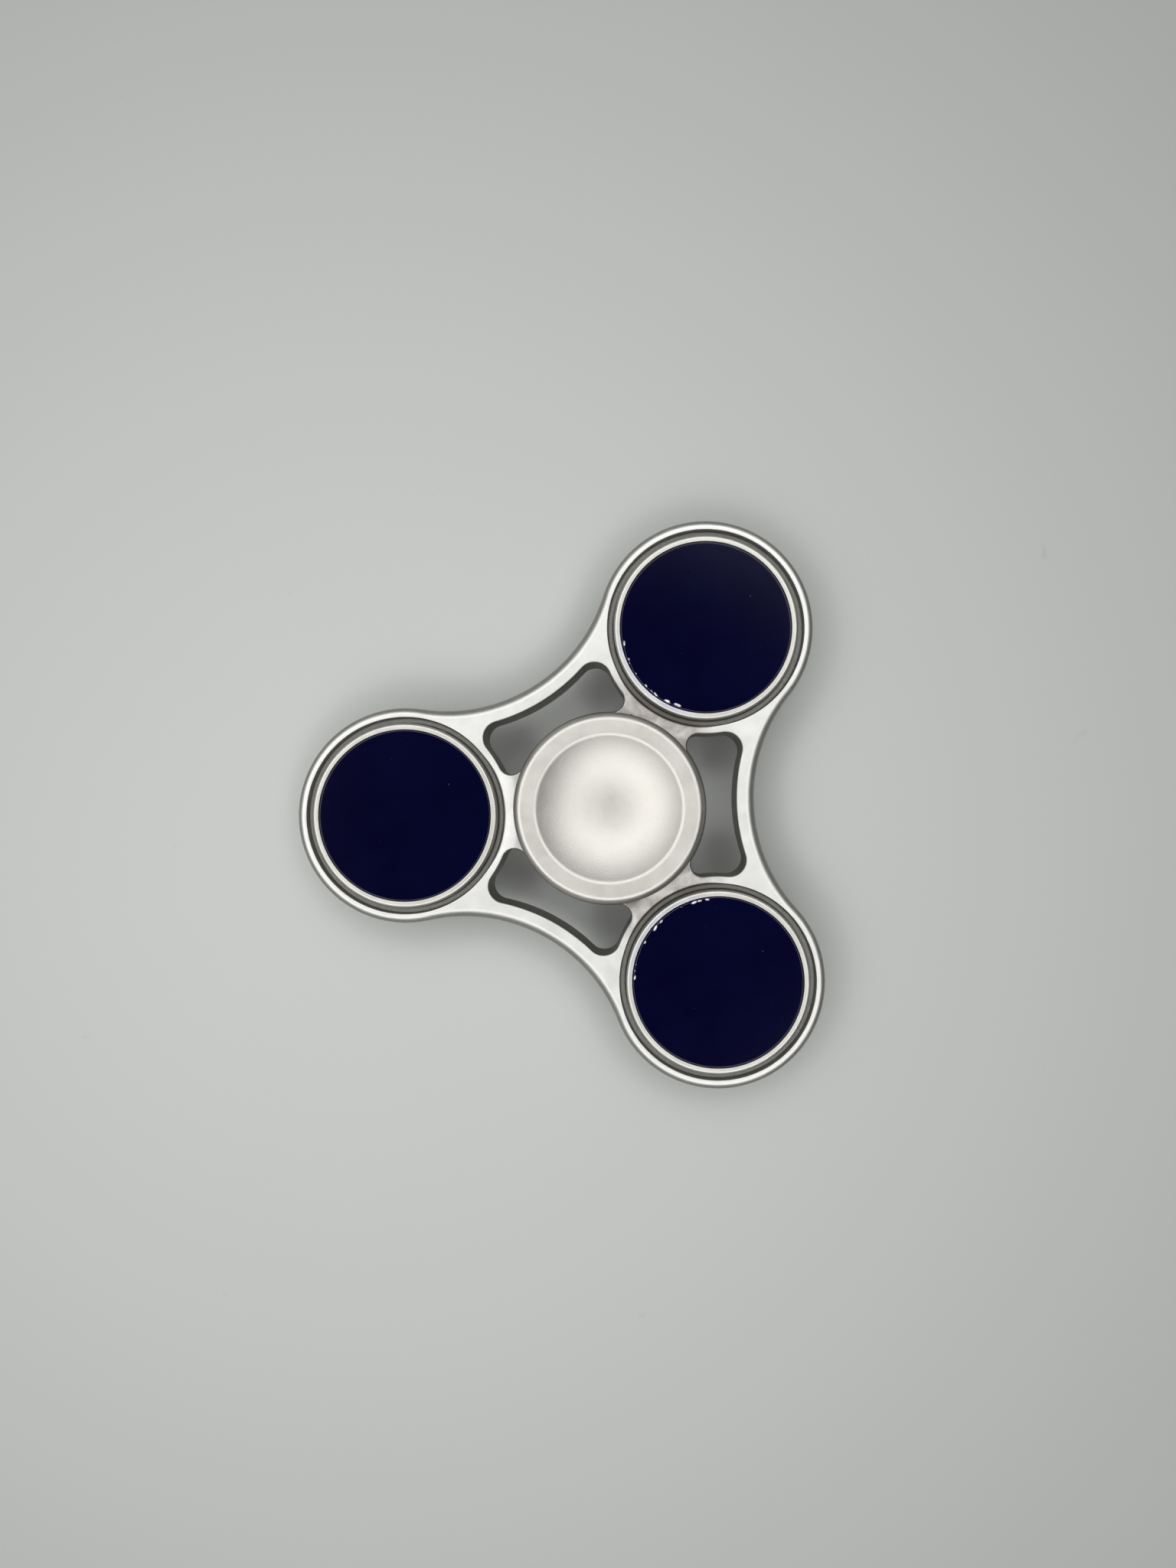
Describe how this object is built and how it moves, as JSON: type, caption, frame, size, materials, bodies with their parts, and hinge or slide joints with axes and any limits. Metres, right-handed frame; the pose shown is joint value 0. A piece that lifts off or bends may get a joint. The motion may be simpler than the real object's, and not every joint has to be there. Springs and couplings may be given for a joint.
{
  "type": "fidget spinner",
  "caption": "Three-lobed metal fidget spinner with dished finger caps, a central ball bearing and round inlaid weights in the lobes.",
  "frame": {"origin": "on the spin axis, at half the height of the frame, which is also half the height of the whole spinner", "axes": "+Z along the spin axis towards the upper cap; the lobes lie at 60, 180 and 300 degrees from +X towards +Y, so a window lies on +X"},
  "size_m": [0.0627, 0.0684, 0.0126],
  "materials": {
    "frame_metal": "fine bead-blasted satin silver",
    "weight_metal": "satin silver with a rounded rim",
    "inlay": "glossy navy blue",
    "cap_metal": "fine satin silver",
    "bearing_steel": "ground and polished bearing steel",
    "cage_steel": "pressed steel strip"
  },
  "bodies": {
    "caps": {"cap_top": "cap_metal", "cap_bottom": "cap_metal", "cap_stud": "bearing_steel", "bearing_inner_race": "bearing_steel"},
    "spinner": {"frame": "frame_metal", "weight_1": "weight_metal", "weight_2": "weight_metal", "weight_3": "weight_metal", "inlay_1_top": "inlay", "inlay_1_bottom": "inlay", "inlay_2_top": "inlay", "inlay_2_bottom": "inlay", "inlay_3_top": "inlay", "inlay_3_bottom": "inlay", "bearing_outer_race": "bearing_steel"},
    "cage": {"bearing_cage": "cage_steel"},
    "ball_01": {"bearing_ball_01": "bearing_steel"},
    "ball_02": {"bearing_ball_02": "bearing_steel"},
    "ball_03": {"bearing_ball_03": "bearing_steel"},
    "ball_04": {"bearing_ball_04": "bearing_steel"},
    "ball_05": {"bearing_ball_05": "bearing_steel"},
    "ball_06": {"bearing_ball_06": "bearing_steel"},
    "ball_07": {"bearing_ball_07": "bearing_steel"},
    "ball_08": {"bearing_ball_08": "bearing_steel"},
    "ball_09": {"bearing_ball_09": "bearing_steel"},
    "ball_10": {"bearing_ball_10": "bearing_steel"}
  },
  "joints": [
    {"name": "spinner_spin", "type": "hinge", "parent": "caps", "child": "spinner", "pos_m": [0, 0, 0], "axis": [0, 0, 1], "continuous": true},
    {"name": "cage_orbit", "type": "hinge", "parent": "caps", "child": "cage", "pos_m": [0, 0, 0], "axis": [0, 0, 1], "continuous": true},
    {"name": "ball_01_roll", "type": "hinge", "parent": "cage", "child": "ball_01", "pos_m": [0.00476, 0, 0], "axis": [0, 0, 1], "continuous": true},
    {"name": "ball_02_roll", "type": "hinge", "parent": "cage", "child": "ball_02", "pos_m": [0.00385, 0.0028, 0], "axis": [0, 0, 1], "continuous": true},
    {"name": "ball_03_roll", "type": "hinge", "parent": "cage", "child": "ball_03", "pos_m": [0.00147, 0.00453, 0], "axis": [0, 0, 1], "continuous": true},
    {"name": "ball_04_roll", "type": "hinge", "parent": "cage", "child": "ball_04", "pos_m": [-0.00147, 0.00453, 0], "axis": [0, 0, 1], "continuous": true},
    {"name": "ball_05_roll", "type": "hinge", "parent": "cage", "child": "ball_05", "pos_m": [-0.00385, 0.0028, 0], "axis": [0, 0, 1], "continuous": true},
    {"name": "ball_06_roll", "type": "hinge", "parent": "cage", "child": "ball_06", "pos_m": [-0.00476, 0, 0], "axis": [0, 0, 1], "continuous": true},
    {"name": "ball_07_roll", "type": "hinge", "parent": "cage", "child": "ball_07", "pos_m": [-0.00385, -0.0028, 0], "axis": [0, 0, 1], "continuous": true},
    {"name": "ball_08_roll", "type": "hinge", "parent": "cage", "child": "ball_08", "pos_m": [-0.00147, -0.00453, 0], "axis": [0, 0, 1], "continuous": true},
    {"name": "ball_09_roll", "type": "hinge", "parent": "cage", "child": "ball_09", "pos_m": [0.00147, -0.00453, 0], "axis": [0, 0, 1], "continuous": true},
    {"name": "ball_10_roll", "type": "hinge", "parent": "cage", "child": "ball_10", "pos_m": [0.00385, -0.0028, 0], "axis": [0, 0, 1], "continuous": true}
  ],
  "couplings": [
    {"joint": "cage_orbit", "follows": "spinner_spin", "ratio": 0.58333},
    {"joint": "ball_01_roll", "follows": "spinner_spin", "ratio": 2.9167},
    {"joint": "ball_02_roll", "follows": "spinner_spin", "ratio": 2.9167},
    {"joint": "ball_03_roll", "follows": "spinner_spin", "ratio": 2.9167},
    {"joint": "ball_04_roll", "follows": "spinner_spin", "ratio": 2.9167},
    {"joint": "ball_05_roll", "follows": "spinner_spin", "ratio": 2.9167},
    {"joint": "ball_06_roll", "follows": "spinner_spin", "ratio": 2.9167},
    {"joint": "ball_07_roll", "follows": "spinner_spin", "ratio": 2.9167},
    {"joint": "ball_08_roll", "follows": "spinner_spin", "ratio": 2.9167},
    {"joint": "ball_09_roll", "follows": "spinner_spin", "ratio": 2.9167},
    {"joint": "ball_10_roll", "follows": "spinner_spin", "ratio": 2.9167}
  ]
}
